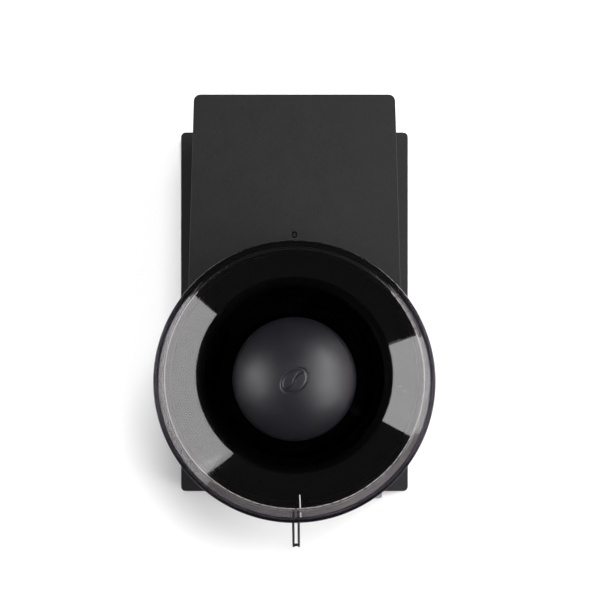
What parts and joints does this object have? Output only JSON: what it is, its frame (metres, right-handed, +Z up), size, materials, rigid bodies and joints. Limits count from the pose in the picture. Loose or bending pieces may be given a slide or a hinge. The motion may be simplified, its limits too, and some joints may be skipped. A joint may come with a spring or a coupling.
{
  "type": "burr coffee grinder",
  "caption": "Table-top conical burr coffee grinder: flat base, motor column, overhanging head, round smoke-grey hopper that turns to set the grind, catch cup with twin-blade handle.",
  "frame": {"origin": "middle of the footprint, at the feet", "axes": "+Z up, -Y towards the front (cup and button), +X to the right seen from the front"},
  "size_m": [0.129, 0.2247, 0.252],
  "materials": {
    "shell_black": "fine-grained matte black ABS",
    "satin_black": "satin black",
    "smoke": "see-through smoke-grey plastic",
    "rubber": "matte",
    "steel": "bright",
    "ferrite": "matte sintered ferrite",
    "aluminium": "die cast",
    "acetal": "natural white acetal",
    "copper": "enamelled copper",
    "board_green": "solder mask",
    "silicone": "matte silicone",
    "button_grey": "satin grey"
  },
  "bodies": {
    "grinder_frame": {"ballast_plate": "steel", "base_plate": "shell_black", "base_screw_1": "steel", "base_screw_2": "steel", "base_screw_3": "steel", "base_screw_4": "steel", "base_tray": "shell_black", "body_shell": "shell_black", "burr_chamber": "aluminium", "button_bezel": "satin_black", "carrier_spring": "steel", "chute_duct": "satin_black", "control_board": "board_green", "cup_locating_magnet": "steel", "foot_front_left": "rubber", "foot_front_right": "rubber", "foot_rear_left": "rubber", "foot_rear_right": "rubber", "gearbox_cover": "aluminium", "gearbox_tray": "aluminium", "idler_pin": "steel", "index_dot": "satin_black", "lower_bearing": "steel", "magnet_left": "ferrite", "magnet_right": "ferrite", "motor_can": "steel", "motor_end_cap": "satin_black", "power_inlet": "satin_black", "rear_cover": "shell_black", "rear_screw_1": "steel", "rear_screw_2": "steel", "rear_screw_3": "steel", "rear_screw_4": "steel", "scale_ring": "satin_black", "shaft_seal": "silicone", "spout": "rubber", "start_switch": "satin_black", "top_panel": "shell_black", "upper_bearing": "steel"},
    "start_button": {"button_cap": "button_grey"},
    "adjuster": {"adjuster_collar": "acetal"},
    "hopper": {"hopper_bowl": "smoke", "bean_guard": "satin_black", "hopper_seal": "silicone"},
    "burr_carriage": {"burr_carrier": "aluminium", "ring_burr": "steel"},
    "burr_spindle": {"burr_shaft": "steel", "cone_burr": "steel", "burr_nut": "steel", "sweeper": "acetal", "output_gear": "acetal"},
    "idler": {"idler_gear": "acetal"},
    "motor_rotor": {"motor_shaft": "steel", "armature": "steel", "windings": "copper", "commutator": "copper", "pinion": "steel"},
    "catch_cup": {"cup_body": "satin_black", "cup_magnet": "steel"}
  },
  "joints": [
    {"name": "start_press", "type": "slide", "parent": "grinder_frame", "child": "start_button", "axis": [0, 1, 0], "range_m": [0, 0.0015], "stiffness_N_per_m": 600},
    {"name": "hopper_turn", "type": "hinge", "parent": "grinder_frame", "child": "adjuster", "pos_m": [0, -0.019, 0.195], "axis": [0, 0, 1], "range_deg": [-34, 126]},
    {"name": "hopper_lift", "type": "slide", "parent": "adjuster", "child": "hopper", "axis": [0, 0, 1], "range_m": [0, 0.12]},
    {"name": "ring_lift", "type": "slide", "parent": "grinder_frame", "child": "burr_carriage", "axis": [0, 0, 1], "range_m": [-0.0003, 0.0009], "deforming": ["carrier_spring"]},
    {"name": "burr_spin", "type": "hinge", "parent": "grinder_frame", "child": "burr_spindle", "pos_m": [0, -0.019, 0.15], "axis": [0, 0, 1], "continuous": true},
    {"name": "idler_spin", "type": "hinge", "parent": "grinder_frame", "child": "idler", "pos_m": [0, 0.015, 0.138], "axis": [0, 0, 1], "continuous": true},
    {"name": "motor_spin", "type": "hinge", "parent": "grinder_frame", "child": "motor_rotor", "pos_m": [0, 0.045, 0.09], "axis": [0, 0, 1], "continuous": true},
    {"name": "cup_slide", "type": "slide", "parent": "grinder_frame", "child": "catch_cup", "axis": [0, -1, 0], "range_m": [0, 0.13]}
  ],
  "couplings": [
    {"joint": "ring_lift", "follows": "hopper_turn", "m_per_rad": 0.0004},
    {"joint": "idler_spin", "follows": "burr_spin", "ratio": -3.8571},
    {"joint": "motor_spin", "follows": "burr_spin", "ratio": 15.429}
  ]
}
